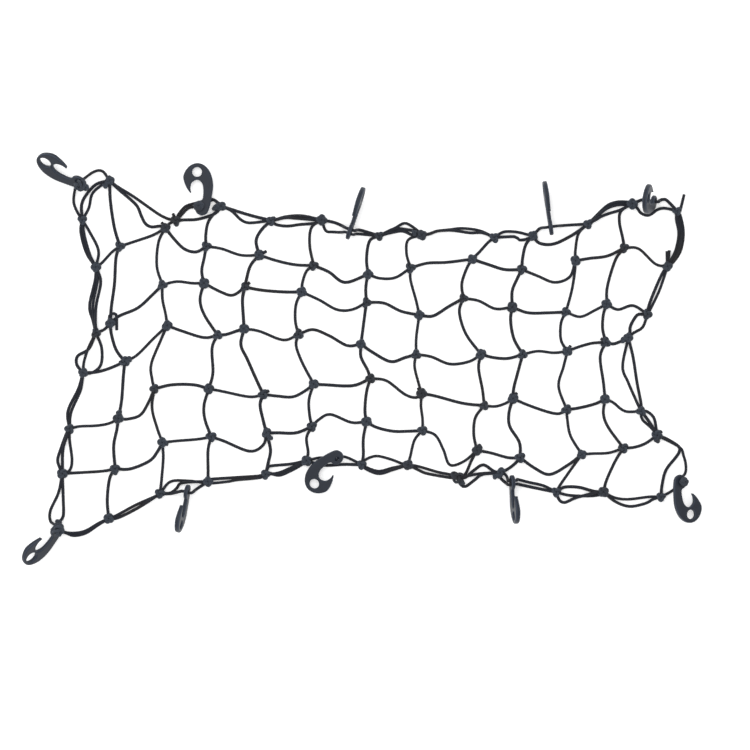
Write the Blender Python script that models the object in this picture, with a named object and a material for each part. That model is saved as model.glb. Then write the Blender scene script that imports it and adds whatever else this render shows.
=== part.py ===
"""Cargo net of knotted elastic cord with ten moulded hooks, lying flat on a floor.

Metres, +Z up.  The origin is on the floor under the middle of the net.  Tables that
give places are in millimetres and are scaled by MM.
"""
from math import cos, pi, radians, sin, sqrt

import bmesh
import bpy
from mathutils import Matrix, Vector

MM = 0.001

# ---------------------------------------------------------------- driving sizes (mm)
CORD = 3.4            # elastic cord
KNOT_LONG = 13.0      # a pulled-tight knot, across
KNOT_WIDE = 11.0
KNOT_HIGH = 7.0
CORD_STEP = 15.0      # length of cord between two of the points it is drawn with
MIDDLE_X = 0.39       # brings the middle of the whole outline over the origin
MIDDLE_Y = 0.75
HOOK_THICK = 5.4      # moulded hook: plate
HOOK_EDGE = 1.0       # chamfer of its edges
HOLE_RADIUS = 6.0     # round hole in the hook's head
SEAM_SHORTEST = 0.5   # edges shorter than this are closed up after the cords are fused
SEAM_PASSES = 12
NET_FACES = 11400     # triangles the finished net is thinned to
FLOOR_GAP = 0.3       # a hook's lowest edge clears the floor by this much
LIE_LOW = 0.08        # the cords between the knots clear the floor by this much
LIE_STEP = 0.023      # and each by a little more than the last,
LIE_STEPS = 17        # up to this many steps

# Where each knot lies, in millimetres from the middle of the net: one row of the net
# to a line, left to right.
KNOTS = (
    ((-350, 175), (-316, 224), (-233, 174), (-177, 192), (-114, 174), (-51, 175), (21, 155),
     (74, 156), (165, 153), (213, 155), (282, 170), (337, 195), (393, 186)),
    ((-333, 116), (-303, 142), (-246, 165), (-195, 142), (-129, 131), (-61, 118), (7, 107),
     (60, 115), (137, 126), (199, 113), (266, 124), (327, 140), (381, 117)),
    ((-333, 34), (-315, 46), (-250, 94), (-198, 96), (-147, 91), (-76, 85), (5, 72),
     (71, 56), (126, 77), (187, 66), (254, 60), (305, 70), (356, 57)),
    ((-349, -16), (-297, -2), (-244, 43), (-181, 31), (-148, 39), (-80, 32), (-2, 20),
     (67, 7), (148, 7), (200, 7), (256, 11), (304, 22), (332, 28)),
    ((-366, -86), (-305, -73), (-260, -36), (-192, -36), (-124, -43), (-61, -30), (10, -23),
     (74, -42), (152, -57), (188, -48), (255, -62), (303, -49), (348, -64)),
    ((-375, -142), (-309, -136), (-250, -103), (-189, -96), (-120, -91), (-63, -83), (5, -77),
     (75, -88), (143, -113), (197, -122), (274, -118), (326, -110), (368, -94)),
    ((-380, -203), (-317, -198), (-253, -167), (-193, -152), (-121, -143), (-70, -126),
     (-1, -131), (57, -131), (118, -146), (172, -141), (242, -165), (301, -165), (373, -171)),
)

# The cords that run across: row of the net, column of the knot at the left end, and the
# points they bend through on the way to the next knot.
ACROSS = (
    (1, 0, (-325, 122), (-313, 135)), (1, 1, (-282, 149), (-262, 156)),
    (1, 2, (-237, 153), (-223, 139), (-208, 135)), (1, 3, (-176, 139), (-152, 131)),
    (1, 4, (-107, 124), (-84, 119)), (1, 5, (-42, 110), (-22, 97)),
    (1, 6, (22, 102), (41, 103)), (1, 7, (81, 121), (105, 122)),
    (1, 8, (158, 119), (178, 113)), (1, 9, (219, 105), (240, 97), (259, 104)),
    (1, 10, (284, 127), (306, 130)), (1, 11, (345, 139), (366, 120)),
    (2, 0, (-323, 38)), (2, 1, (-304, 55), (-281, 65), (-263, 81)), (2, 2, (-232, 98), (-213, 96)),
    (2, 3, (-177, 85), (-162, 81)), (2, 4, (-124, 87), (-97, 85)),
    (2, 5, (-54, 75), (-32, 63), (-13, 63)), (2, 6, (27, 71), (48, 61)),
    (2, 7, (88, 55), (108, 67)), (2, 8, (145, 74), (166, 64)),
    (2, 9, (207, 59), (233, 59)), (2, 10, (272, 54), (290, 62)),
    (2, 11, (319, 63), (338, 68)),
    (3, 0, (-332, -15), (-315, -10)), (3, 1, (-282, 6), (-261, 27)),
    (3, 2, (-225, 36), (-198, 28)), (3, 3, (-170, 32), (-158, 36)),
    (3, 4, (-129, 36), (-99, 25)), (3, 5, (-62, 38), (-41, 30), (-19, 18)),
    (3, 6, (12, 10), (35, -2), (53, 3)), (3, 7, (86, 4), (109, -5), (133, -2)),
    (3, 8, (164, 3), (182, 2)), (3, 9, (219, 11), (239, 9)),
    (3, 10, (269, 16), (287, 21)), (3, 11, (313, 20), (322, 23)),
    (4, 0, (-354, -83), (-332, -82), (-316, -79)),
    (4, 1, (-295, -74), (-278, -69), (-268, -54)),
    (4, 2, (-238, -31), (-211, -31)), (4, 3, (-176, -39), (-141, -46)),
    (4, 4, (-107, -45), (-87, -46), (-71, -38)), (4, 5, (-46, -31), (-12, -32)),
    (4, 6, (30, -26), (53, -43), (67, -47)), (4, 7, (91, -45), (125, -54)),
    (4, 8, (166, -58), (179, -54)), (4, 9, (206, -56), (232, -65), (246, -67)),
    (4, 10, (270, -60), (290, -55)), (4, 11, (313, -53), (328, -64)),
    (5, 0, (-358, -141), (-326, -139)), (5, 1, (-290, -136), (-266, -126), (-256, -114)),
    (5, 2, (-231, -101), (-206, -99)), (5, 3, (-174, -101), (-141, -114), (-124, -106)),
    (5, 4, (-105, -91), (-83, -91)), (5, 5, (-54, -74), (-40, -68), (-14, -78)),
    (5, 6, (17, -84), (38, -89), (58, -89)),
    (5, 7, (91, -94), (101, -112), (109, -131), (126, -127)),
    (5, 8, (160, -116), (182, -122)), (5, 9, (215, -135), (234, -143), (257, -131)),
    (5, 10, (287, -117), (308, -116)), (5, 11, (340, -109), (354, -104)),
)

# The cords that run down: row of the knot at the upper end, column, and their points.
DOWN = (
    (0, 1, (-315, 198), (-310, 165)), (0, 2, (-236, 173), (-242, 170)),
    (0, 3, (-192, 174), (-196, 155)), (0, 4, (-126, 163), (-133, 149)),
    (0, 5, (-64, 165), (-66, 143)), (0, 6, (9, 149), (5, 127)),
    (0, 7, (57, 150), (55, 133)), (0, 8, (157, 147), (147, 136)),
    (0, 9, (204, 144), (200, 127)), (0, 10, (270, 158), (266, 137)),
    (0, 11, (323, 186), (321, 172), (325, 153)),
    (1, 1, (-308, 128), (-310, 95), (-314, 65)), (1, 2, (-255, 147), (-257, 117)),
    (1, 3, (-198, 127), (-201, 111)), (1, 4, (-140, 118), (-145, 101)),
    (1, 5, (-70, 111), (-75, 97)), (1, 6, (5, 98), (4, 87)),
    (1, 7, (60, 100), (67, 74)), (1, 8, (130, 114), (124, 95)),
    (1, 9, (193, 101), (187, 86)), (1, 10, (265, 108), (261, 85)),
    (1, 11, (316, 125), (306, 92)),
    (2, 1, (-314, 33), (-308, 13)), (2, 2, (-250, 76), (-246, 57)),
    (2, 3, (-203, 76), (-198, 57)), (2, 4, (-150, 76), (-149, 55)),
    (2, 5, (-83, 70), (-84, 49)), (2, 6, (3, 58), (0, 35)),
    (2, 7, (69, 43), (67, 26)), (2, 8, (121, 60), (129, 33)),
    (2, 9, (185, 50), (189, 27)), (2, 10, (248, 46), (248, 25)),
    (2, 11, (301, 57), (300, 39)),
    (3, 1, (-299, -22), (-301, -50)), (3, 2, (-252, 25), (-264, -5), (-263, -24)),
    (3, 3, (-188, 15), (-187, -16)), (3, 4, (-152, 19), (-144, 1), (-132, -26)),
    (3, 5, (-83, 18), (-75, -4)), (3, 6, (-2, 4), (6, -12)),
    (3, 7, (65, -8), (70, -29)), (3, 8, (145, -10), (150, -38)),
    (3, 9, (195, -12), (189, -35)), (3, 10, (251, -9), (245, -33)),
    (3, 11, (297, 4), (301, -28)),
    (4, 1, (-307, -87), (-311, -108)), (4, 2, (-263, -60), (-257, -84)),
    (4, 3, (-198, -56), (-197, -74)), (4, 4, (-128, -56), (-124, -76)),
    (4, 5, (-67, -50), (-66, -70)), (4, 6, (5, -40), (3, -63)),
    (4, 7, (73, -57), (75, -74)), (4, 8, (141, -72), (139, -93)),
    (4, 9, (183, -66), (184, -83), (196, -103)), (4, 10, (256, -75), (260, -95)),
    (4, 11, (301, -67), (307, -84)),
    (5, 1, (-316, -148), (-319, -175)), (5, 2, (-249, -122), (-251, -148)),
    (5, 3, (-193, -112), (-193, -137)), (5, 4, (-115, -112), (-118, -129)),
    (5, 5, (-70, -97), (-68, -115)), (5, 6, (1, -98), (1, -119)),
    (5, 7, (65, -100), (60, -119)), (5, 8, (136, -126), (128, -143)),
    (5, 9, (191, -129), (182, -136)), (5, 10, (261, -136), (247, -156)),
    (5, 11, (316, -126), (305, -150)),
)

# The doubled cord of the edge. Each row: row and column of the knot it leaves, row and
# column of the knot it reaches, and its points; a third number is a height above the
# floor, where the cord climbs through the eye of a hook.
EDGE = (
    # left end, top to bottom
    (0, 0, 0, 1, (-351, 194), (-344, 208), (-332, 220)),
    (0, 0, 0, 1, (-342, 190), (-338, 207), (-328, 217)),
    (0, 0, 1, 0, (-351, 160), (-345, 135)), (0, 0, 1, 0, (-343, 160), (-331, 137)),
    (1, 0, 2, 0, (-331, 100), (-338, 68)), (1, 0, 2, 0, (-327, 98), (-333, 66)),
    (2, 0, 3, 0, (-342, 14), (-356, 5), (-357, -6)), (2, 0, 3, 0, (-342, 16), (-348, -2)),
    (2, 0, 3, 0, (-326, 15), (-327, -6), (-338, -16)),
    (3, 0, 4, 0, (-355, -36), (-368, -64)),
    (4, 0, 5, 0, (-376, -108), (-381, -124)), (4, 0, 5, 0, (-374, -110), (-375, -128)),
    (4, 0, 5, 0, (-364, -106), (-363, -130)),
    (5, 0, 6, 0, (-374, -166), (-374, -192)),
    # bottom, left to right
    (6, 1, 6, 2, (-297, -188), (-269, -175)), (6, 1, 6, 2, (-299, -192), (-271, -179)),
    (6, 2, 6, 3, (-244, -153), (-218, -152)),
    (6, 3, 6, 4, (-170, -148), (-140, -147)), (6, 3, 6, 4, (-176, -154), (-146, -150)),
    (6, 4, 6, 5, (-112, -132), (-84, -130)), (6, 4, 6, 5, (-106, -145), (-84, -136)),
    (6, 5, 6, 6, (-48, -131.5), (-22, -130.5)),
    (6, 6, 6, 7, (9, -121), (29, -121), (46, -129)), (6, 6, 6, 7, (11, -139), (31, -139)),
    (6, 7, 6, 8, (78, -136), (102, -141)), (6, 7, 6, 8, (76, -141), (100, -146)),
    (6, 8, 6, 9, (136, -142), (144, -133), (156, -133)), (6, 8, 6, 9, (130, -145), (150, -141)),
    (6, 8, 6, 9, (128, -158), (141, -150), (152, -142)),
    (6, 10, 6, 11, (253, -159), (277, -161)), (6, 10, 6, 11, (256, -169), (284, -169)),
    (6, 10, 6, 11, (248, -177), (262, -175), (278, -167)),
    (6, 11, 6, 12, (320, -173), (352, -172)), (6, 11, 6, 12, (320, -180), (345, -181.5)),
    # right end, bottom to top
    (5, 12, 6, 12, (386, -101), (396, -112), (386, -130), (375, -152)),
    (4, 12, 5, 12, (349, -74), (360, -85)), (4, 12, 5, 12, (360, -66), (364, -80)),
    (3, 12, 4, 12, (325, -9), (334, -31)), (3, 12, 4, 12, (340, -7), (345, -38)),
    (2, 12, 3, 12, (338, 55), (333, 42)), (2, 12, 3, 12, (348, 38), (336, 34)),
    (1, 12, 2, 12, (368, 93), (358, 71)), (1, 12, 2, 12, (375, 95), (366, 70)),
    (0, 12, 1, 12, (396, 162), (395, 138)), (0, 12, 1, 12, (391, 160), (390, 138)),
    # top, right to left
    (0, 11, 0, 12, (348, 184), (360, 180), (375, 190)),
    (0, 10, 0, 11, (296, 184), (316, 197)), (0, 10, 0, 11, (301, 180), (322, 188)),
    (0, 9, 0, 10, (222, 146), (240, 145), (264, 157)),
    (0, 8, 0, 9, (180, 161), (196, 159)), (0, 8, 0, 9, (188, 153), (200, 150)),
    (0, 7, 0, 8, (95, 163), (138, 161)), (0, 7, 0, 8, (110, 159.5), (146, 158)),
    (0, 6, 0, 7, (35, 164), (56, 163)), (0, 6, 0, 7, (43, 168), (58, 171)),
    (0, 4, 0, 5, (-92, 180), (-70, 177)), (0, 4, 0, 5, (-94, 168), (-70, 170)),
    (0, 3, 0, 4, (-158, 187), (-135, 178)), (0, 3, 0, 4, (-155, 178), (-132, 171)),
    (0, 2, 0, 3, (-222, 174), (-200, 177)),
    (0, 1, 0, 2, (-291, 208), (-262, 186)),
    (0, 1, 0, 2, (-296, 204), (-279, 188), (-274, 172), (-262, 166), (-249, 168)),
)

# Free ends and small loops that stand out of a knot: row and column of the knot, then
# the points the end runs through.
ENDS = (
    (0, 2, (-238, 182)), (0, 12, (397, 189), (402, 207)),
    (1, 4, (-121, 136)), (1, 12, (382, 136)), (2, 1, (-309, 58), (-306, 38)),
    (3, 1, (-291, 3)), (3, 11, (298, 26)), (4, 9, (193, -42)), (5, 2, (-244, -106)),
    (5, 12, (374, -90)),
)

# Second lump of the knots that are tied with two.
LUMPS = (
    (-321, 218), (-184, 190), (65, 159), (-317, 53), (-292, 1), (326, 25), (-304, -66),
    (-118, -97), (-309, -140), (146, -109), (115, -143), (123, -153), (166, -144),
    (178, -139), (368, -100), (369, -89), (-386, -201),
)

# The hook's outline: heel at the bottom, claw to the left, head at the top.  The middle
# of the eye is near 0, 0.
HOOK_OUTLINE = (
    (2, -10), (9.5, -8), (12.5, 0), (13, 12), (14.5, 28), (11, 43), (3, 52.5), (-7, 55),
    (-17, 50), (-23, 39), (-20, 27), (-12.5, 18), (-14, 24), (-12.3, 31), (-6, 34.5),
    (-0.5, 31.5), (2, 24), (1, 9.5), (-5, 8.5), (-10.5, 2), (-9, -6), (-4, -9.5),
)
HOOK_HOLE = (-5.8, 44.2)
EYE_AT = (-1.0, 0.0)
EYE_LONG = 5.6
EYE_WIDE = 3.2

# Where each hook lies: where its eye is, the way its head points (degrees from +X), how
# far it is rolled up on its long edge and pitched up toward the head, whether it is
# turned over, and its length against the others'.
HOOKS = {
    "hook_a": (-352.0, 222.5, 158, 46, -3, True, 1.10),
    "hook_b": (-200.8, 190.0, 90, 0, -6, False, 1.02),
    "hook_c": (-16.0, 160.0, 72, 86, 0, False, 1.05),
    "hook_d": (234.6, 165.5, 98, 90, 0, False, 1.05),
    "hook_e": (366.5, 197.0, 149, 30, 72, False, 1.0),
    "hook_f": (-386.5, -217.5, 230, 50, -3, True, 0.93),
    "hook_g": (-220.3, -164.5, 256, 80, 0, True, 0.94),
    "hook_h": (-32.5, -121.8, 222, 0, -9, False, 0.97),
    "hook_i": (187.0, -152.5, 274, 80, 0, False, 0.94),
    "hook_j": (396.5, -152.0, 281, -20, -6, False, 0.97),
}

# The ways a cord goes through an eye, in the hook's own sides (x across, y along,
# z out of the flat face).
THREADINGS = {
    "straight": ((-1, 0, -8), (-1, 0, 0), (-1, 0, 8)),
    "straight_aside": ((-1, 0.9, -8), (-1, 0.9, 0), (-1, 0.9, 8)),
    "straight_nearly": ((-1, 0.45, -8), (-1, 0.45, 0), (-1, 0.45, 8)),
    "straight_near": ((-2.9, 0, -8), (-2.9, 0, 0), (-2.9, 0, 8)),
    "straight_far": ((0.9, 0, -8), (0.9, 0, 0), (0.9, 0, 8)),
    "over_back": ((-7.5, 0, -6.8), (-1, 0, 0), (3, 0, 5.6), (13.4, 0, 5.4), (18, 0, 0.5)),
    "over_heel": ((5.5, 0, -6.8), (-1, 0, 0), (-5, 0, 5.6), (-8.5, -7.5, 5.6), (-11, -11, 0.5)),
}

# The cords that carry the hooks: hook, threading, the knot it leaves and its points up
# to the eye, then its points after the eye and the knot it reaches.
THREADS = (
    ("hook_a", "straight_aside", (0, 1), ((-325, 236), (-336, 236)), ((-361, 202), (-358, 188)), (0, 0)),
    ("hook_b", "over_back", (0, 2), ((-226, 182), (-217, 190)), ((-181, 197),), (0, 3)),
    ("hook_c", "straight_near", (0, 5), ((-36, 175),), ((-1, 164), (9, 159)), (0, 6)),
    ("hook_c", "straight_far", (0, 5), ((-45, 161), (-30, 159)), ((2, 157),), (0, 6)),
    ("hook_d", "straight_aside", (0, 9), ((221, 164),), ((250, 168), (265, 169)), (0, 10)),
    ("hook_e", "straight_aside", (0, 11), ((348, 199),), ((382, 198),), (0, 12)),
    ("hook_f", "straight", (5, 0), ((-380, -166), (-390, -188), (-392, -206)),
     ((-374, -226, 11), (-365, -220, 3), (-347, -215), (-330, -206)), (6, 1)),
    ("hook_g", "straight_nearly", (6, 2), ((-240, -167),), ((-207, -161),), (6, 3)),
    ("hook_h", "over_heel", (6, 5), ((-52, -122),), ((-12, -125),), (6, 6)),
    ("hook_i", "straight_near", (6, 9), ((178, -146),), ((201, -152), (222, -156)), (6, 10)),
    ("hook_i", "straight_far", (6, 9), ((177, -149),), ((203, -159), (222, -161.5)), (6, 10)),
    ("hook_j", "over_heel", (6, 12), ((386, -164),), ((403, -131), (400, -119), (396, -109)), (5, 12)),
)


# ---------------------------------------------------------------- helpers
def material(name, colour, roughness):
    """A plain Principled material."""
    mat = bpy.data.materials.new(name)
    mat.use_nodes = True
    shader = mat.node_tree.nodes["Principled BSDF"]
    shader.inputs["Base Color"].default_value = (*colour, 1.0)
    shader.inputs["Roughness"].default_value = roughness
    shader.inputs["Metallic"].default_value = 0.0
    mat.diffuse_color = (*colour, 1.0)
    return mat


def to_mesh(curve_object, name):
    """The curve as a mesh object with its end caps joined on."""
    graph = bpy.context.evaluated_depsgraph_get()
    mesh = bpy.data.meshes.new_from_object(curve_object.evaluated_get(graph))
    mesh.name = name
    bm = bmesh.new()
    bm.from_mesh(mesh)
    bmesh.ops.remove_doubles(bm, verts=bm.verts, dist=1e-6)
    bmesh.ops.recalc_face_normals(bm, faces=bm.faces)
    bm.to_mesh(mesh)
    bm.free()
    old = curve_object.data
    bpy.data.objects.remove(curve_object)
    bpy.data.curves.remove(old)
    obj = bpy.data.objects.new(name, mesh)
    return obj


def smooth_points(points, step):
    """Points along a smooth curve through the given ones, about one a step."""
    ends = [points[0] * 2 - points[1]] + points + [points[-1] * 2 - points[-2]]
    out = [points[0]]
    for i in range(1, len(ends) - 2):
        a, b, c, d = ends[i - 1:i + 3]
        pieces = max(1, round((c - b).length / step))
        for k in range(1, pieces + 1):
            t = k / pieces
            out.append(0.5 * ((2 * b) + (c - a) * t + (2 * a - 5 * b + 4 * c - d) * t * t
                              + (3 * b - a - 3 * c + d) * t * t * t))
    return out


def strand(curve, places):
    """Add one length of cord to the curve: it lies just on the floor unless it is lifted.

    Each length lies a few hundredths higher than the one before it, so that no two
    flat sides share a plane where they cross in a knot.
    """
    low = CORD / 2 + LIE_LOW + LIE_STEP * (len(curve.splines) % LIE_STEPS)
    points = [Vector((p[0], p[1], p[2] if len(p) > 2 else low)) for p in places]
    points = smooth_points(points, CORD_STEP)
    for point in points:
        point.z = max(point.z, low)
    spline = curve.splines.new("POLY")
    spline.points.add(len(points) - 1)
    for target, point in zip(spline.points, points):
        target.co = (*(point * MM), 1.0)
        target.tilt = radians(45)          # a square cord, flat side down


def knot(bm, place, turn, size, low=0.0):
    """Add one pulled-tight knot: a faceted lump, flat underneath."""
    long, wide, high = size
    lump = bmesh.ops.create_icosphere(bm, subdivisions=1, radius=0.5)["verts"]
    for v in lump:
        v.co.x *= long
        v.co.y *= wide
        v.co.z = max(low, high * (0.44 + v.co.z))
    matrix = Matrix.Translation((place[0], place[1], 0.0)) @ Matrix.Rotation(turn, 4, "Z")
    bmesh.ops.transform(bm, matrix=Matrix.Scale(MM, 4) @ matrix, verts=lump)


def tidy_seams(bm, shortest):
    """Close up the short edges that a union leaves, where the surface stays closed."""
    bmesh.ops.triangulate(bm, faces=bm.faces)
    for _ in range(SEAM_PASSES):
        short = sorted((e.calc_length(), e.index) for e in bm.edges if e.calc_length() < shortest)
        bm.edges.ensure_lookup_table()
        edges = [bm.edges[index] for _, index in short]
        touched = set()
        merges = {}
        for edge in edges:
            one, two = edge.verts
            around_one = {e.other_vert(one) for e in one.link_edges}
            around_two = {e.other_vert(two) for e in two.link_edges}
            if touched & (around_one | around_two) or len(around_one & around_two) != 2:
                continue
            touched |= around_one | around_two
            merges[two] = one
        if not merges:
            break
        bmesh.ops.weld_verts(bm, targetmap=merges)
        bm.edges.index_update()
    bmesh.ops.dissolve_degenerate(bm, edges=bm.edges, dist=1e-6)
    bmesh.ops.triangulate(bm, faces=bm.faces)
    bmesh.ops.recalc_face_normals(bm, faces=bm.faces)


def thread(curve, mesh, row):
    """Add a cord that runs from a knot, through a hook's eye, to the next knot."""
    name, way, start, before, after, end = row
    place = hook_place(mesh, name)
    through = [place @ (Vector(p) * MM) / MM for p in THREADINGS[way]]
    if way.startswith("straight"):
        last = Vector((*before[-1], 0.0))
        if (through[0] - last).length > (through[-1] - last).length:
            through.reverse()
    through = [(p.x, p.y, max(p.z, CORD / 2 + LIE_LOW)) for p in through]
    strand(curve, [KNOTS[start[0]][start[1]], *before, *through, *after, KNOTS[end[0]][end[1]]])


def make_net(collection, cord, moulding):
    """The net: every cord and knot, fused into one body."""
    curve = bpy.data.curves.new("cords", "CURVE")
    curve.dimensions = "3D"
    curve.twist_mode = "Z_UP"
    curve.bevel_depth = CORD * MM / sqrt(2)
    curve.bevel_resolution = 0
    curve.use_fill_caps = True
    for row, column, *points in ACROSS:
        strand(curve, [KNOTS[row][column], *points, KNOTS[row][column + 1]])
    for row, column, *points in DOWN:
        strand(curve, [KNOTS[row][column], *points, KNOTS[row + 1][column]])
    for row, column, to_row, to_column, *points in EDGE:
        strand(curve, [KNOTS[row][column], *points, KNOTS[to_row][to_column]])
    for row in THREADS:
        thread(curve, moulding, row)
    for row, column, *points in ENDS:
        strand(curve, [KNOTS[row][column], *points])
    cords = bpy.data.objects.new("cords", curve)
    bpy.context.scene.collection.objects.link(cords)
    cords = to_mesh(cords, "cords")
    cords.data.materials.append(cord)

    bm = bmesh.new()
    for row, places in enumerate(KNOTS):
        for column, place in enumerate(places):
            turn = radians(37 * row + 61 * column)
            size = (KNOT_LONG + (row + column) % 3 - 1, KNOT_WIDE + column % 2, KNOT_HIGH)
            knot(bm, place, turn, size)
    for index, place in enumerate(LUMPS):
        knot(bm, place, radians(50 * index), (8.5, 7.5, 5.6), low=0.03)
    mesh = bpy.data.meshes.new("net")
    bm.to_mesh(mesh)
    bm.free()
    mesh.materials.append(cord)
    net = bpy.data.objects.new("net", mesh)
    collection.objects.link(net)

    cutters = bpy.data.collections.new("cutters")
    bpy.context.scene.collection.children.link(cutters)
    cutters.objects.link(cords)
    cords.hide_render = True
    cords.display_type = "WIRE"
    fuse = net.modifiers.new("fuse", "BOOLEAN")
    fuse.operation = "UNION"
    fuse.solver = "EXACT"
    fuse.use_self = True
    fuse.object = cords

    graph = bpy.context.evaluated_depsgraph_get()
    fused = bpy.data.meshes.new_from_object(net.evaluated_get(graph))
    net.modifiers.clear()
    bm = bmesh.new()
    bm.from_mesh(fused)
    tidy_seams(bm, SEAM_SHORTEST * MM)
    bm.to_mesh(fused)
    bm.free()
    net.data = fused
    thin = net.modifiers.new("thin", "DECIMATE")
    thin.ratio = min(1.0, NET_FACES / len(fused.polygons))
    return net


def closed_spline(curve, points, kind="POLY"):
    """Add a closed outline to a flat curve."""
    spline = curve.splines.new(kind)
    spline.points.add(len(points) - 1)
    for target, (x, y) in zip(spline.points, points):
        target.co = (x * MM, y * MM, 0.0, 1.0)
    spline.use_cyclic_u = True


def ring(centre, long, wide, count):
    """Points of an ellipse."""
    return [(centre[0] + long * cos(2 * pi * k / count), centre[1] + wide * sin(2 * pi * k / count))
            for k in range(count)]


def make_hook_mesh(nylon):
    """The flat hook: outline, head hole and eye, filled and given its thickness."""
    curve = bpy.data.curves.new("hook", "CURVE")
    curve.dimensions = "2D"
    curve.fill_mode = "BOTH"
    curve.extrude = (HOOK_THICK / 2 - HOOK_EDGE) * MM
    curve.bevel_depth = HOOK_EDGE * MM
    curve.bevel_resolution = 0
    curve.offset = -HOOK_EDGE * MM
    closed_spline(curve, HOOK_OUTLINE)
    closed_spline(curve, ring(HOOK_HOLE, HOLE_RADIUS, HOLE_RADIUS, 12))
    closed_spline(curve, ring(EYE_AT, EYE_LONG, EYE_WIDE, 10))
    obj = bpy.data.objects.new("hook", curve)
    bpy.context.scene.collection.objects.link(obj)
    obj = to_mesh(obj, "hook")
    obj.data.materials.append(nylon)
    return obj.data


def hook_place(mesh, name):
    """How one hook is placed: turned as it lies, and let down until it clears the floor."""
    x, y, heading, roll, pitch, turned, length = HOOKS[name]
    turn = (Matrix.Rotation(radians(heading - 90), 4, "Z")
            @ Matrix.Rotation(radians(pitch), 4, "X")
            @ Matrix.Rotation(radians(-roll if turned else roll), 4, "Y")
            @ Matrix.Rotation(pi if turned else 0.0, 4, "Y")
            @ Matrix.Scale(length, 4, (0, 1, 0)))
    low = min((turn @ v.co).z for v in mesh.vertices)
    return Matrix.Translation((x * MM, y * MM, FLOOR_GAP * MM - low)) @ turn


def make_hook(collection, mesh, name):
    """One hook where it lies; every hook is the same moulding."""
    copy = mesh.copy()
    copy.transform(hook_place(mesh, name))
    hook = bpy.data.objects.new(name, copy)
    collection.objects.link(hook)
    return hook


def main():
    for obj in list(bpy.data.objects):
        bpy.data.objects.remove(obj)
    parts = bpy.data.collections.new("cargo_net")
    bpy.context.scene.collection.children.link(parts)
    cord = material("elastic_cord", (0.026, 0.027, 0.031), 0.85)
    nylon = material("hook_nylon", (0.050, 0.058, 0.068), 0.48)
    moulding = make_hook_mesh(nylon)
    make_net(parts, cord, moulding)
    for name in HOOKS:
        make_hook(parts, moulding, name)
    for obj in parts.objects:
        obj.location = (MIDDLE_X * MM, MIDDLE_Y * MM, 0.0)


main()
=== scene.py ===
# %% [markdown]
# # A knotted elastic cargo net with moulded hooks
#
# This lesson dresses a ready-made frame: the solids and their physics are loaded first,
# and each piece that is made here takes the place of one of them. Working on top of the
# loaded frame keeps every size true, because nothing has to be fitted by eye later.

# %% Load the frame
from math import cos, pi, radians, sin, sqrt

import bmesh
import bpy
import numpy as np
from mathutils import Matrix, Vector


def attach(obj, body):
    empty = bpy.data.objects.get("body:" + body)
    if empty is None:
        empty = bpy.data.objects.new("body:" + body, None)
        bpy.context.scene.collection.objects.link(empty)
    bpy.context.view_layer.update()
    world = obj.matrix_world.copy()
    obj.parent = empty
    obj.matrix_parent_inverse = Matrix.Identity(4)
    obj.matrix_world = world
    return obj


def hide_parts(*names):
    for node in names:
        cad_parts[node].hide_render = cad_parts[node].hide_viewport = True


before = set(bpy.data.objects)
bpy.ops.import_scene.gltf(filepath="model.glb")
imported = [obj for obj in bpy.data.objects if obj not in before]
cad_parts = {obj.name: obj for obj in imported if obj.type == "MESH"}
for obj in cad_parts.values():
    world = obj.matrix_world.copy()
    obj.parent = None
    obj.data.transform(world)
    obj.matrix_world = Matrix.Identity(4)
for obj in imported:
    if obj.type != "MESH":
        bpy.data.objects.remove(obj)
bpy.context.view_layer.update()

MM = 0.001

# %% [markdown]
# ## The view
# A net that is laid out to be counted and checked is looked at from straight above. A
# long lens far away keeps the mesh from leaning outwards at the edges of the picture, as
# a short lens close by would make it do.

# %% Camera straight above
VIEW_WIDTH = 937.5               # mm of floor across the square picture
VIEW_MIDDLE = (16.0, -18.0)      # mm, the point of the floor in the middle of it
CAMERA_HEIGHT = 5200.0           # mm
SENSOR = 36.0                    # mm
FAR_CLIP = 30.0                  # m

camera = bpy.data.objects.new("camera", bpy.data.cameras.new("camera"))
bpy.context.scene.collection.objects.link(camera)
camera.data.sensor_width = SENSOR
camera.data.lens = SENSOR * CAMERA_HEIGHT / VIEW_WIDTH
camera.data.clip_end = FAR_CLIP
camera.location = (VIEW_MIDDLE[0] * MM, VIEW_MIDDLE[1] * MM, CAMERA_HEIGHT * MM)
bpy.context.scene.camera = camera
print("lens, mm:", round(camera.data.lens, 1))

# %% [markdown]
# ## Colour and nodes
# Paint charts and web pages give colours as sRGB hex codes, but a renderer adds light in
# linear numbers. One function turns the one into the other, so every finish below can be
# written as a hex code. A second small function adds a shader node with its settings and
# its links in one line, which keeps each material short enough to read.

# %% Helpers for finishes
def linear(code):
    """A hex colour as linear red, green, blue and alpha."""
    parts = [int(code[i:i + 2], 16) / 255 for i in (1, 3, 5)]
    return (*[c / 12.92 if c <= 0.04045 else ((c + 0.055) / 1.055) ** 2.4 for c in parts], 1.0)


def node(tree, kind, settings=(), links=(), values=()):
    """Add a node: settings are its own, values fill sockets, links feed sockets."""
    new = tree.nodes.new(kind)
    for key, value in dict(settings).items():
        setattr(new, key, value)
    for key, value in dict(values).items():
        new.inputs[key].default_value = value
    for key, source in dict(links).items():
        tree.links.new(source, new.inputs[key])
    return new


def new_material(name, colour, roughness):
    """A Principled material, with its tree and its shader."""
    mat = bpy.data.materials.new(name)
    mat.use_nodes = True
    shader = mat.node_tree.nodes["Principled BSDF"]
    shader.inputs["Base Color"].default_value = linear(colour)
    shader.inputs["Roughness"].default_value = roughness
    return mat, mat.node_tree, shader

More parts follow.
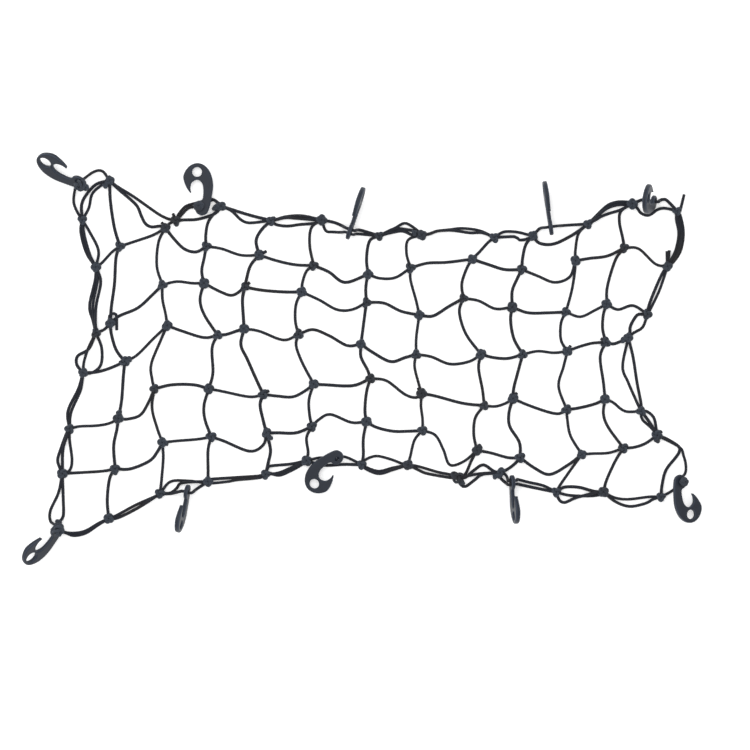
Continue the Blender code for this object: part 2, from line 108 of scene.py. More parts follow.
# %% [markdown]
# ## The sheath of the cord
# The cord is shock cord: rubber strands inside a sheath of dyed polyester, plaited on a
# ring of bobbins. Two sets of yarns wind round it in opposite directions and go over and
# under each other, which gives rows of small diamonds. Dyed polyester is rough, and
# browner where it is worn. The top of each yarn is painted a lighter, bluish colour: a
# painted highlight where it catches the light.
#
# A picture would do for the plait, but two sine waves do it better: one follows the
# left-hand yarns and one the right-hand yarns, and their product rises in the middle of
# each diamond. They run on the cord's own UV map, which goes once around the cord in one
# direction and counts millimetres along it in the other, so the plait bends with the
# cord. A function makes the finish, because the knots need a second one: a copy painted
# lighter all over, a painted highlight for the light that the tight, bulging knots catch.

# %% Plaited polyester sheath
YARNS = 8              # diamonds around the cord
PICK = 2.6             # mm along the cord for one diamond: coarser than the real 1.2 mm,
                       # so that it still shows in a picture of the whole net
YARN_FUZZ = 0.6        # mm, the loose fibres on the yarns
WORN_PATCH = 55.0      # mm, how far apart the worn lengths lie
SHEATH_ROUGH = 0.82
SHEATH_DARK = "#101217"
# The lighter colour below is a painted highlight on the top of each yarn.
SHEATH_CROWN_HIGHLIGHT = "#2D313C"
SHEATH_WORN = "#24211F"
# The knots' two colours below are a lighter copy of the sheath: a painted highlight on the knots.
KNOT_HIGHLIGHT_BASE = "#262B32"
KNOT_HIGHLIGHT_CROWN = "#4A515D"


def plaited_sheath(name, dark, light):
    """Sheath of two sets of yarns: dark dye between them, a painted highlight on top of each."""
    finish, tree, shader = new_material(name, dark, SHEATH_ROUGH)
    uv = node(tree, "ShaderNodeUVMap", {"uv_map": "plait"})
    axes = node(tree, "ShaderNodeSeparateXYZ", links={0: uv.outputs[0]})
    around = node(tree, "ShaderNodeMath", {"operation": "MULTIPLY"},
                  {0: axes.outputs["X"]}, {1: YARNS * pi})
    along = node(tree, "ShaderNodeMath", {"operation": "MULTIPLY"},
                 {0: axes.outputs["Y"]}, {1: pi / PICK})
    left = node(tree, "ShaderNodeMath", {"operation": "ADD"},
                {0: around.outputs[0], 1: along.outputs[0]})
    right = node(tree, "ShaderNodeMath", {"operation": "SUBTRACT"},
                 {0: around.outputs[0], 1: along.outputs[0]})
    left_wave = node(tree, "ShaderNodeMath", {"operation": "SINE"}, {0: left.outputs[0]})
    right_wave = node(tree, "ShaderNodeMath", {"operation": "SINE"}, {0: right.outputs[0]})
    weave = node(tree, "ShaderNodeMath", {"operation": "MULTIPLY"},
                 {0: left_wave.outputs[0], 1: right_wave.outputs[0]})
    plait = node(tree, "ShaderNodeMath", {"operation": "ABSOLUTE"}, {0: weave.outputs[0]})
    place = node(tree, "ShaderNodeTexCoord")
    fuzz = node(tree, "ShaderNodeTexNoise", links={"Vector": place.outputs["Object"]},
                values={"Scale": 1 / (YARN_FUZZ * MM), "Detail": 2.0})
    drift = node(tree, "ShaderNodeTexNoise", links={"Vector": place.outputs["Object"]},
                 values={"Scale": 1 / (WORN_PATCH * MM), "Detail": 2.0})
    # Painted highlight: the top of each yarn is mixed towards the lighter colour.
    yarn_crown_highlight = node(tree, "ShaderNodeMix", {"data_type": "RGBA"}, {"Factor": plait.outputs[0]},
                {"A": linear(dark), "B": linear(light)})
    wear = node(tree, "ShaderNodeMapRange", links={"Value": drift.outputs[0]},
                values={"From Min": 0.5, "From Max": 0.72, "To Max": 0.65})
    colour = node(tree, "ShaderNodeMix", {"data_type": "RGBA"},
                  {"Factor": wear.outputs[0], "A": yarn_crown_highlight.outputs["Result"]},
                  {"B": linear(SHEATH_WORN)})
    grain = node(tree, "ShaderNodeBump", links={"Height": fuzz.outputs[0]},
                 values={"Strength": 0.5, "Distance": 0.10 * MM})
    relief = node(tree, "ShaderNodeBump",
                  links={"Height": plait.outputs[0], "Normal": grain.outputs[0]},
                  values={"Strength": 0.9, "Distance": 0.32 * MM})
    tree.links.new(colour.outputs["Result"], shader.inputs["Base Color"])
    tree.links.new(relief.outputs[0], shader.inputs["Normal"])
    shader.inputs["Sheen Weight"].default_value = 0.06
    shader.inputs["Sheen Roughness"].default_value = 0.5
    shader.inputs["Specular IOR Level"].default_value = 0.2
    return finish


sheath = plaited_sheath("plaited_polyester_sheath", SHEATH_DARK, SHEATH_CROWN_HIGHLIGHT)
# The knots get the lighter copy: a painted highlight.
knot_sheath_painted_highlight = plaited_sheath("sheath_with_painted_knot_highlight", KNOT_HIGHLIGHT_BASE, KNOT_HIGHLIGHT_CROWN)
print("finishes:", sheath.name, knot_sheath_painted_highlight.name)

# %% [markdown]
# ## The nylon of the hooks
# The hooks are injection-moulded nylon with glass fibre in it, dyed dark slate. The mould
# is spark-eroded to a fine grain, and the fibres leave a faint mottling where the melt
# flowed. The shine is low and wide. Along its rounded edges a hook is painted paler in a
# speckle of the grain: partly the wear of a used hook, where the grain has been rubbed
# off, and partly a painted highlight where the rounds catch the light. Two noises at
# different sizes give the mottling and the grain. The edges come from a UV map of the
# hook's own, which is one on its rounded edges and nought on its flats; the moulding
# writes it further down.

# %% Moulded glass-filled nylon
NYLON_DARK = "#10151F"
NYLON = "#1D2532"
# The paler edge colour below is partly wear and partly a painted highlight on the rounded edges.
NYLON_WEAR_AND_EDGE_HIGHLIGHT = "#364051"
NYLON_ROUGH = 0.46
GLOSSIEST, DULLEST = 0.38, 0.56    # roughness of the mottles
MELT_FLOW = 9.0                    # mm, size of the mottles
SPARK_GRAIN = 0.55                 # mm, grain of the mould's wall

nylon, tree, shader = new_material("moulded_glass_filled_nylon", NYLON, NYLON_ROUGH)
place = node(tree, "ShaderNodeTexCoord")
flow = node(tree, "ShaderNodeTexNoise", links={"Vector": place.outputs["Object"]},
            values={"Scale": 1 / (MELT_FLOW * MM), "Detail": 3.0, "Distortion": 0.6})
mottle = node(tree, "ShaderNodeMix", {"data_type": "RGBA"}, {"Factor": flow.outputs[0]},
              {"A": linear(NYLON_DARK), "B": linear(NYLON)})
speck = node(tree, "ShaderNodeTexNoise", links={"Vector": place.outputs["Object"]},
             values={"Scale": 1 / (SPARK_GRAIN * MM), "Detail": 2.0})
edge_wear_and_highlight_map = node(tree, "ShaderNodeUVMap", {"uv_map": "edge_wear_and_highlight_map"})
rub_axes = node(tree, "ShaderNodeSeparateXYZ", links={0: edge_wear_and_highlight_map.outputs[0]})
# Paler rounded edges in a speckle: partly wear, partly a painted highlight.
edge_wear_and_highlight = node(tree, "ShaderNodeMath", {"operation": "MULTIPLY"},
              {0: rub_axes.outputs["X"], 1: speck.outputs[0]})
skin = node(tree, "ShaderNodeMix", {"data_type": "RGBA"},
            {"Factor": edge_wear_and_highlight.outputs[0], "A": mottle.outputs["Result"]},
            {"B": linear(NYLON_WEAR_AND_EDGE_HIGHLIGHT)})
gloss = node(tree, "ShaderNodeMapRange", links={"Value": flow.outputs[0]},
             values={"To Min": GLOSSIEST, "To Max": DULLEST})
relief = node(tree, "ShaderNodeBump", links={"Height": speck.outputs[0]},
              values={"Strength": 0.35, "Distance": 0.08 * MM})
shader.inputs["Specular IOR Level"].default_value = 0.32
tree.links.new(skin.outputs["Result"], shader.inputs["Base Color"])
tree.links.new(gloss.outputs[0], shader.inputs["Roughness"])
tree.links.new(relief.outputs[0], shader.inputs["Normal"])
print("finish:", nylon.name)

# %% [markdown]
# ## Where the net lies
# A net has no shape of its own: it is as wide here and as slack there as it was laid
# down. So its places are written down knot by knot, the way one would note them from a
# grid on the floor, one row of the net to a line. The lengths between the knots get only
# the points they bend through, and a smooth curve joins them later.

# %% Knots and the lengths between them, in millimetres
KNOTS = (
    ((-350, 175), (-316, 224), (-233, 174), (-177, 192), (-114, 174), (-51, 175), (21, 155),
     (74, 156), (165, 153), (213, 155), (282, 170), (337, 195), (393, 186)),
    ((-333, 116), (-303, 142), (-246, 165), (-195, 142), (-129, 131), (-61, 118), (7, 107),
     (60, 115), (137, 126), (199, 113), (266, 124), (327, 140), (381, 117)),
    ((-333, 34), (-315, 46), (-250, 94), (-198, 96), (-147, 91), (-76, 85), (5, 72),
     (71, 56), (126, 77), (187, 66), (254, 60), (305, 70), (356, 57)),
    ((-349, -16), (-297, -2), (-244, 43), (-181, 31), (-148, 39), (-80, 32), (-2, 20),
     (67, 7), (148, 7), (200, 7), (256, 11), (304, 22), (332, 28)),
    ((-366, -86), (-305, -73), (-260, -36), (-192, -36), (-124, -43), (-61, -30), (10, -23),
     (74, -42), (152, -57), (188, -48), (255, -62), (303, -49), (348, -64)),
    ((-375, -142), (-309, -136), (-250, -103), (-189, -96), (-120, -91), (-63, -83), (5, -77),
     (75, -88), (143, -113), (197, -122), (274, -118), (326, -110), (368, -94)),
    ((-380, -203), (-317, -198), (-253, -167), (-193, -152), (-121, -143), (-70, -126),
     (-1, -131), (57, -131), (118, -146), (172, -141), (242, -165), (301, -165), (373, -171)),
)

# Lengths that run across: row, column of the knot at the left end, points on the way.
ACROSS = (
    (1, 0, (-325, 122), (-313, 135)), (1, 1, (-282, 149), (-262, 156)),
    (1, 2, (-237, 153), (-223, 139), (-208, 135)), (1, 3, (-176, 139), (-152, 131)),
    (1, 4, (-107, 124), (-84, 119)), (1, 5, (-42, 110), (-22, 97)),
    (1, 6, (22, 102), (41, 103)), (1, 7, (81, 121), (105, 122)),
    (1, 8, (158, 119), (178, 113)), (1, 9, (219, 105), (240, 97), (259, 104)),
    (1, 10, (284, 127), (306, 130)), (1, 11, (345, 139), (366, 120)),
    (2, 0, (-323, 38)), (2, 1, (-304, 55), (-281, 65), (-263, 81)), (2, 2, (-232, 98), (-213, 96)),
    (2, 3, (-177, 85), (-162, 81)), (2, 4, (-124, 87), (-97, 85)),
    (2, 5, (-54, 75), (-32, 63), (-13, 63)), (2, 6, (27, 71), (48, 61)),
    (2, 7, (88, 55), (108, 67)), (2, 8, (145, 74), (166, 64)),
    (2, 9, (207, 59), (233, 59)), (2, 10, (272, 54), (290, 62)),
    (2, 11, (319, 63), (338, 68)),
    (3, 0, (-332, -15), (-315, -10)), (3, 1, (-282, 6), (-261, 27)),
    (3, 2, (-225, 36), (-198, 28)), (3, 3, (-170, 32), (-158, 36)),
    (3, 4, (-129, 36), (-99, 25)), (3, 5, (-62, 38), (-41, 30), (-19, 18)),
    (3, 6, (12, 10), (35, -2), (53, 3)), (3, 7, (86, 4), (109, -5), (133, -2)),
    (3, 8, (164, 3), (182, 2)), (3, 9, (219, 11), (239, 9)),
    (3, 10, (269, 16), (287, 21)), (3, 11, (313, 20), (322, 23)),
    (4, 0, (-354, -83), (-332, -82), (-316, -79)),
    (4, 1, (-295, -74), (-278, -69), (-268, -54)),
    (4, 2, (-238, -31), (-211, -31)), (4, 3, (-176, -39), (-141, -46)),
    (4, 4, (-107, -45), (-87, -46), (-71, -38)), (4, 5, (-46, -31), (-12, -32)),
    (4, 6, (30, -26), (53, -43), (67, -47)), (4, 7, (91, -45), (125, -54)),
    (4, 8, (166, -58), (179, -54)), (4, 9, (206, -56), (232, -65), (246, -67)),
    (4, 10, (270, -60), (290, -55)), (4, 11, (313, -53), (328, -64)),
    (5, 0, (-358, -141), (-326, -139)), (5, 1, (-290, -136), (-266, -126), (-256, -114)),
    (5, 2, (-231, -101), (-206, -99)), (5, 3, (-174, -101), (-141, -114), (-124, -106)),
    (5, 4, (-105, -91), (-83, -91)), (5, 5, (-54, -74), (-40, -68), (-14, -78)),
    (5, 6, (17, -84), (38, -89), (58, -89)),
    (5, 7, (91, -94), (101, -112), (109, -131), (126, -127)),
    (5, 8, (160, -116), (182, -122)), (5, 9, (215, -135), (234, -143), (257, -131)),
    (5, 10, (287, -117), (308, -116)), (5, 11, (340, -109), (354, -104)),
)

# Lengths that run down: row of the upper knot, column, points on the way.
DOWN = (
    (0, 1, (-315, 198), (-310, 165)), (0, 2, (-236, 173), (-242, 170)),
    (0, 3, (-192, 174), (-196, 155)), (0, 4, (-126, 163), (-133, 149)),
    (0, 5, (-64, 165), (-66, 143)), (0, 6, (9, 149), (5, 127)),
    (0, 7, (57, 150), (55, 133)), (0, 8, (157, 147), (147, 136)),
    (0, 9, (204, 144), (200, 127)), (0, 10, (270, 158), (266, 137)),
    (0, 11, (323, 186), (321, 172), (325, 153)),
    (1, 1, (-308, 128), (-310, 95), (-314, 65)), (1, 2, (-255, 147), (-257, 117)),
    (1, 3, (-198, 127), (-201, 111)), (1, 4, (-140, 118), (-145, 101)),
    (1, 5, (-70, 111), (-75, 97)), (1, 6, (5, 98), (4, 87)),
    (1, 7, (60, 100), (67, 74)), (1, 8, (130, 114), (124, 95)),
    (1, 9, (193, 101), (187, 86)), (1, 10, (265, 108), (261, 85)),
    (1, 11, (316, 125), (306, 92)),
    (2, 1, (-314, 33), (-308, 13)), (2, 2, (-250, 76), (-246, 57)),
    (2, 3, (-203, 76), (-198, 57)), (2, 4, (-150, 76), (-149, 55)),
    (2, 5, (-83, 70), (-84, 49)), (2, 6, (3, 58), (0, 35)),
    (2, 7, (69, 43), (67, 26)), (2, 8, (121, 60), (129, 33)),
    (2, 9, (185, 50), (189, 27)), (2, 10, (248, 46), (248, 25)),
    (2, 11, (301, 57), (300, 39)),
    (3, 1, (-299, -22), (-301, -50)), (3, 2, (-252, 25), (-264, -5), (-263, -24)),
    (3, 3, (-188, 15), (-187, -16)), (3, 4, (-152, 19), (-144, 1), (-132, -26)),
    (3, 5, (-83, 18), (-75, -4)), (3, 6, (-2, 4), (6, -12)),
    (3, 7, (65, -8), (70, -29)), (3, 8, (145, -10), (150, -38)),
    (3, 9, (195, -12), (189, -35)), (3, 10, (251, -9), (245, -33)),
    (3, 11, (297, 4), (301, -28)),
    (4, 1, (-307, -87), (-311, -108)), (4, 2, (-263, -60), (-257, -84)),
    (4, 3, (-198, -56), (-197, -74)), (4, 4, (-128, -56), (-124, -76)),
    (4, 5, (-67, -50), (-66, -70)), (4, 6, (5, -40), (3, -63)),
    (4, 7, (73, -57), (75, -74)), (4, 8, (141, -72), (139, -93)),
    (4, 9, (183, -66), (184, -83), (196, -103)), (4, 10, (256, -75), (260, -95)),
    (4, 11, (301, -67), (307, -84)),
    (5, 1, (-316, -148), (-319, -175)), (5, 2, (-249, -122), (-251, -148)),
    (5, 3, (-193, -112), (-193, -137)), (5, 4, (-115, -112), (-118, -129)),
    (5, 5, (-70, -97), (-68, -115)), (5, 6, (1, -98), (1, -119)),
    (5, 7, (65, -100), (60, -119)), (5, 8, (136, -126), (128, -143)),
    (5, 9, (191, -129), (182, -136)), (5, 10, (261, -136), (247, -156)),
    (5, 11, (316, -126), (305, -150)),
)
print("knots:", sum(len(row) for row in KNOTS), "lengths:", len(ACROSS) + len(DOWN))

# %% [markdown]
# ## The edge and the loose ends
# The edge takes the pull of the hooks, so it is made of two or three cords side by side.
# They share the knots and part a little between them. Each length is written from knot to
# knot. The short ends that stick out of some knots are the cut tails of the cords.

# %% Edge cords and tails, in millimetres
# Lengths of the edge: a knot, the points on the way, and the next knot.
BORDER = (
    # left end, top to bottom
    ((0, 0), (-351, 194), (-344, 208), (-332, 220), (0, 1)),
    ((0, 0), (-342, 190), (-338, 207), (-328, 217), (0, 1)),
    ((0, 0), (-352, 160), (-345, 134), (1, 0)), ((0, 0), (-348, 157), (-341, 132), (1, 0)),
    ((0, 0), (-341, 160), (-330, 137), (1, 0)),
    ((1, 0), (-334, 100), (-341, 68), (-337, 50), (2, 0)),
    ((1, 0), (-331, 100), (-337, 66), (2, 0)),
    ((1, 0), (-327, 98), (-333, 66), (2, 0)),
    ((2, 0), (-342, 14), (-356, 5), (-357, -6), (3, 0)), ((2, 0), (-342, 16), (-348, -2), (3, 0)),
    ((2, 0), (-326, 15), (-327, -6), (-338, -16), (3, 0)),
    ((3, 0), (-355, -36), (-368, -64), (4, 0)), ((3, 0), (-352, -37), (-364, -65), (4, 0)),
    ((4, 0), (-370, -92), (-376, -108), (-381, -124), (-379, -133), (5, 0)),
    ((4, 0), (-374, -110), (-375, -133), (5, 0)),
    ((4, 0), (-366, -100), (-363, -125), (-366, -138), (5, 0)),
    ((5, 0), (-374, -173), (-374, -195), (6, 0)),
    # bottom, left to right
    ((6, 0), (-374, -214), (-361, -216.2), (-346, -213.3), (-330, -204), (6, 1)),
    ((6, 1), (-307, -194), (-283, -181), (-258, -170), (6, 2)),
    ((6, 1), (-305, -197), (-281, -185), (-262, -173), (6, 2)),
    ((6, 2), (-240, -152), (-218, -151), (-200, -153), (6, 3)),
    ((6, 2), (-240, -166), (-232, -160), (-227, -154), (-208, -152), (6, 3)),
    ((6, 3), (-189, -149), (-160, -147), (-130, -145), (6, 4)),
    ((6, 3), (-189, -154), (-168, -152), (-157, -150), (-128, -147), (6, 4)),
    ((6, 4), (-118, -134), (-112, -132), (-90, -130), (-75, -127), (6, 5)),
    ((6, 4), (-118, -141), (-104, -144), (-89, -138), (-75, -130), (6, 5)),
    ((6, 4), (-105, -141), (-90, -135), (6, 5)),
    ((6, 5), (-48, -131.5), (-22, -130.5), (6, 6)),
    ((6, 6), (3, -125), (17, -120), (35, -124), (51, -130), (6, 7)),
    ((6, 6), (4, -134), (20, -139), (37, -135), (6, 7)),
    ((6, 6), (6, -137), (21, -142), (38, -137), (6, 7)),
    ((6, 7), (70, -133), (94, -140), (109, -143), (6, 8)),
    ((6, 7), (71, -138), (81, -142), (110, -147), (6, 8)),
    ((6, 8), (128, -147), (139, -138), (151, -131), (164, -139), (6, 9)),
    ((6, 8), (130, -145), (146, -142), (162, -141), (6, 9)),
    ((6, 8), (123, -156), (129, -158), (140, -150), (150, -143), (6, 9)),
    ((6, 10), (252, -159), (270, -159), (289, -164), (6, 11)),
    ((6, 10), (258, -169), (284, -170), (298, -168), (6, 11)),
    ((6, 10), (246, -175), (253, -178), (267, -172), (290, -166), (6, 11)),
    ((6, 11), (315, -172), (332, -174), (358, -171), (6, 12)),
    ((6, 11), (316, -177), (334, -183), (354, -179), (363, -174), (6, 12)),
    # right end, bottom to top
    ((5, 12), (381, -99), (395, -108), (396, -114), (392, -121), (379, -138), (374, -158), (6, 12)),
    ((4, 12), (348, -68), (350, -75), (361, -85), (5, 12)),
    ((4, 12), (355, -64), (364, -72), (367, -86), (5, 12)),
    ((4, 12), (353, -70), (360, -80), (5, 12)),
    ((3, 12), (325, -8), (332, -28), (342, -51), (4, 12)),
    ((3, 12), (338, 4), (343, -28), (348, -54), (4, 12)),
    ((2, 12), (351, 57), (343, 56), (335, 43), (334, 34), (3, 12)),
    ((2, 12), (350, 41), (339, 34), (3, 12)),
    ((1, 12), (374, 107), (363, 82), (357, 65), (2, 12)),
    ((1, 12), (378, 107), (371, 87), (361, 66), (2, 12)),
    ((0, 12), (397, 181), (401, 160), (398, 138), (389, 123), (1, 12)),
    ((0, 12), (394, 178), (398, 159), (395, 138), (386, 122), (1, 12)),
    ((0, 12), (392, 176), (395, 158), (391.5, 138), (384, 123), (1, 12)),
    # top, right to left
    ((0, 11), (343, 190), (348, 183.5), (356, 180.6), (362, 183), (367, 187), (374, 189.5),
     (382, 189), (0, 12)),
    ((0, 10), (290, 178), (299, 187), (308, 194.2), (320, 197.6), (333, 197), (0, 11)),
    ((0, 10), (291, 177), (300, 185.4), (309, 190.9), (321, 194), (333, 193.6), (0, 11)),
    ((0, 10), (292, 175.5), (298.5, 179.4), (308, 183), (318.5, 186.2), (326, 189.2), (0, 11)),
    ((0, 9), (221, 146), (239, 145), (262, 156), (0, 10)),
    ((0, 8), (176, 160), (192, 160), (205, 157), (0, 9)),
    ((0, 8), (190, 154), (196, 150), (205, 151), (0, 9)),
    ((0, 7), (84, 158), (93, 161.2), (109, 163), (122, 164.5), (136, 163.6), (149, 160.8), (0, 8)),
    ((0, 7), (84, 157.4), (93, 160.8), (108, 162), (121.5, 160.7), (135, 158.8), (150, 158.8),
     (0, 8)),
    ((0, 6), (27, 157), (43, 164), (70, 160), (0, 7)),
    ((0, 6), (30, 160), (41, 165), (53, 171), (66, 164), (0, 7)),
    ((0, 6), (36, 159), (50, 161), (63, 156), (0, 7)),
    ((0, 4), (-108, 175.5), (-97, 178.8), (-82.5, 180.3), (-71, 179.5), (-58, 176.5), (0, 5)),
    ((0, 4), (-108, 175), (-96, 177.6), (-82.5, 176.8), (-71, 176), (-60, 175), (0, 5)),
    ((0, 4), (-108, 169.2), (-94, 167.3), (-78, 169.3), (-60, 170.8), (0, 5)),
    ((0, 3), (-168, 189.5), (-142, 181.3), (-121, 176), (0, 4)),
    ((0, 3), (-164, 186.5), (-153, 176), (-144.5, 171.7), (-134.4, 171.7), (-122, 173.3), (0, 4)),
    ((0, 2), (-223, 175), (-205, 176), (-184, 183), (0, 3)),
    ((0, 2), (-230, 182), (-221.4, 191.8), (-211.5, 195.3), (-203, 197.5), (-196, 199.5),
     (-188, 201), (-182, 198), (0, 3)),
    ((0, 1), (-306, 216.5), (-285, 203.5), (-256, 183), (-243, 176.5), (0, 2)),
    ((0, 1), (-304, 212.5), (-291, 201.5), (-281.5, 192), (-276, 179), (-271, 170),
     (-263.5, 166.3), (-253, 167.3), (1, 2)),
)

# Tails: the knot a tail comes out of, then its points.
ENDS = (
    ((0, 2), (-237, 183)), ((0, 2), (-232, 167)), ((0, 12), (396, 184), (402, 207)),
    ((1, 4), (-120, 136)), ((1, 12), (380.5, 136)), ((1, 12), (383.5, 137)),
    ((2, 1), (-316, 55), (-308, 57), (-307, 37)),
    ((3, 1), (-290, 4)), ((3, 1), (-304, -3)), ((3, 11), (298, 27)), ((3, 8), (153, 12)),
    ((3, 10), (260, 18)), ((4, 9), (193, -41)), ((5, 2), (-243, -106)), ((5, 12), (374, -89)),
    ((4, 4), (-117, -38)), ((1, 2), (-251, 172)), ((2, 4), (-141, 97)), ((4, 7), (69, -35)),
)
print("edge lengths:", len(BORDER), "tails:", len(ENDS))

# %% [markdown]
# ## Where the hooks lie
# Ten hooks from one mould lie as they fell: some flat, some up on their long edge, some
# half rolled over. Each is told by where its eye is, the way its head points, how far it
# is rolled and pitched, whether it is turned over, and its length against the others',
# for a rolled plate looks shorter. A cord goes through each eye in one of a few ways.

# %% Hooks and the cords that carry them
# The eye's x and y, the heading, the roll, the pitch, turned over or not, and the length.
HOOKS = {
    "a": (-353.8, 222.2, 153.5, 47, -3, True, 1.08),
    "b": (-200.8, 190.0, 90, 0, -6, False, 1.02),
    "c": (-16.0, 160.0, 72, 86, 0, False, 1.05),
    "d": (234.6, 165.5, 98, 90, 0, False, 1.05),
    "e": (363.2, 197.0, 191.3, 18.4, 73.4, True, 1.0),
    "f": (-381.0, -211.5, 230, 55, -3, True, 1.05),
    "g": (-218.8, -164.3, 258.5, 80, 0, True, 0.94),
    "h": (-32.5, -121.8, 222, 0, -9, False, 0.97),
    "i": (187.0, -152.5, 274, 80, 0, False, 0.94),
    "j": (396.0, -152.0, 281, -28, -6, False, 0.97),
}
# Ways of a cord through an eye, in millimetres of the hook's own frame.
ROUTES_IN_EYE = {
    "straight": ((-1, 0.4, -6), (-1, 0.4, 0), (-1, 0.4, 6)),
    "straight_heel": ((-1, -2.2, -5.5), (-1, -2.2, 0), (-1, -2.2, 5.5)),
    "straight_head": ((-1, 2.8, -5.5), (-1, 2.8, 0), (-1, 2.8, 5.5)),
    "bight": ((-2, -3, -4.6), (-2, -1.7, -1.5), (-2, 0.4, 1.6), (-2, 2.5, -1.5), (-2, 3.8, -4.6)),
    "bight_turned": ((-2, -3, 4.6), (-2, -1.7, 1.5), (-2, 0.4, -1.6), (-2, 2.5, 1.5),
                     (-2, 3.8, 4.6)),
}
# Hook, way through its eye, knot it comes from, points to the eye, points on, knot it goes to.
CARRIERS = (
    ("a", "bight_turned", (0, 1), ((-325, 236), (-336, 235)), ((-361, 202), (-358, 188)), (0, 0)),
    ("b", "bight", (0, 2), ((-227, 180.5), (-218.6, 189.2), (-210.5, 191.5)),
     ((-190, 199), (-184, 199)), (0, 3)),
    ("c", "straight_head", (0, 5), ((-36, 172), (-26, 168)), ((-5, 162.5), (7, 159.5)), (0, 6)),
    ("c", "straight_heel", (0, 5), ((-46, 161.5), (-37, 160), (-27, 159.5)),
     ((-7, 157.5), (6, 156.5)), (0, 6)),
    ("d", "straight", (0, 9), ((221, 164),), ((250, 168), (265, 169)), (0, 10)),
    ("e", "straight", (0, 11), ((346, 199), (352, 200.6)),
     ((371.5, 199.3), (378, 200.8), (385, 195)), (0, 12)),
    ("f", "bight_turned", (5, 0), ((-380, -166), (-390, -188), (-390, -201)),
     ((-371, -216), (-361, -219.5), (-346, -216.5), (-330, -206)), (6, 1)),
    ("g", "straight", (6, 2), ((-240, -167),), ((-207, -161),), (6, 3)),
    ("h", "bight", (6, 5), ((-52, -122),), ((-22, -121), (-12, -125)), (6, 6)),
    ("i", "straight_heel", (6, 9), ((178, -142.5), (181, -147.5)),
     ((194, -149.3), (208, -152.8), (226, -157)), (6, 10)),
    ("i", "straight_head", (6, 9), ((172, -147), (179, -153.5)),
     ((195, -155.3), (209, -158.4), (226, -162)), (6, 10)),
    ("j", "bight", (6, 12), ((386, -164),),
     ((403, -142), (404, -131), (401, -119), (396, -109)), (5, 12)),
)
NET_SHIFT = Vector((0.39, 0.75, 0.0))       # mm, the frame's origin is the outline's middle

# %% [markdown]
# ## The moulding
# The hook is one flat plate: a heel with an eye for the cord, a shank, and a hooked head
# that thins to a claw, with a finger hole. Its outline is laid as a ring of vertices, the
# hole and the eye as two circles, and the flat between them is filled. Extruding the flat
# gives the plate. A mould always rounds its edges, and here three narrow insets, each one
# raised a little less than the one before, make a quarter-round all the way round. A last
# one, not raised at all, keeps the shade of the round off the flat. Insets are used rather
# than a bevel because the fill has long thin triangles that a bevel would catch on.

# %% Outline and sizes of the hook, in millimetres
HOOK_OUTLINE = (
    (0.6, -9.6), (6.8, -6.8), (10, 0.5), (12.3, 11), (14.4, 28), (11, 43), (3, 52.5), (-7, 55),
    (-17, 50), (-23, 39), (-20.2, 27.5), (-14.8, 18.8), (-12.8, 18.2), (-14, 24), (-12.3, 31),
    (-6, 34.5), (-0.5, 31.5), (2, 24), (1.2, 11), (-3.8, 8.2), (-7.8, 3.6), (-8, -3), (-4.6, -7.8),
)
FINGER_HOLE = (-5.8, 44.2)
FINGER_RADIUS = 6.1
FINGER_WORN = 7.2                     # radius of a finger hole that is worn open
EYE_SNUG = (-2.0, 0.4, 1.95, 3.0)     # middle and half size: a doubled cord fills it
EYE_LONG = (-1.0, 0.3, 2.5, 5.0)      # the eye of a hook that carries both edge cords
DOUBLED = "ci"                        # hooks with a long eye
WORN = "af"                           # hooks with a worn finger hole
OUTLINE_STEP = 1.6                    # between the vertices of the outline
FINGER_VERTS = 32
EYE_VERTS = 24
SHANK_THICK = 4.9
HEAD_THICK = 5.9
SHANK_END, HEAD_START = 20, 40        # the plate thickens between these
EDGE_ROUND = 1.35
ROUNDING = ((0.134, 0.5), (0.366, 0.366), (0.5, 0.134), (0.12, 0.0))   # insets: across, up
CLEAR = 0.3                           # the lowest edge of a hook clears the floor by this


def smooth_points(points, step, closed=False):
    """Points about one step apart on a smooth curve through the given ones."""
    if closed:
        ends = [points[-1], *points, points[0], points[1]]
    else:
        ends = [points[0] * 2 - points[1], *points, points[-1] * 2 - points[-2]]
    out = [] if closed else [points[0]]
    for i in range(1, len(ends) - 2):
        a, b, c, d = ends[i - 1:i + 3]
        pieces = max(1, round((c - b).length / step))
        for k in range(1, pieces + 1):
            t = k / pieces
            out.append(0.5 * (2 * b + (c - a) * t + (2 * a - 5 * b + 4 * c - d) * t * t
                              + (3 * b - a - 3 * c + d) * t * t * t))
    return out


def edge_ring(bm, points):
    """Join points into a closed ring of edges."""
    verts = [bm.verts.new((p[0], p[1], 0.0)) for p in points]
    return [bm.edges.new((verts[i - 1], verts[i])) for i in range(len(verts))]

# %% [markdown]
# The finger hole and the eye come from the circle operator, which gives an evenly spaced
# ring that only has to be scaled and moved. The thickness is worked in last, by scaling
# the plate's height along its length: the head is a millimetre thicker than the shank.

# %% Mould one hook
LEVEL = 0.9                           # a normal's height on the flats
# Steepness of the faces that get the paler edge: wear and a painted highlight.
WEAR_AND_HIGHLIGHT_FROM, WEAR_AND_HIGHLIGHT_TO = 0.15, 0.8    # how steep a face is where wear reaches it


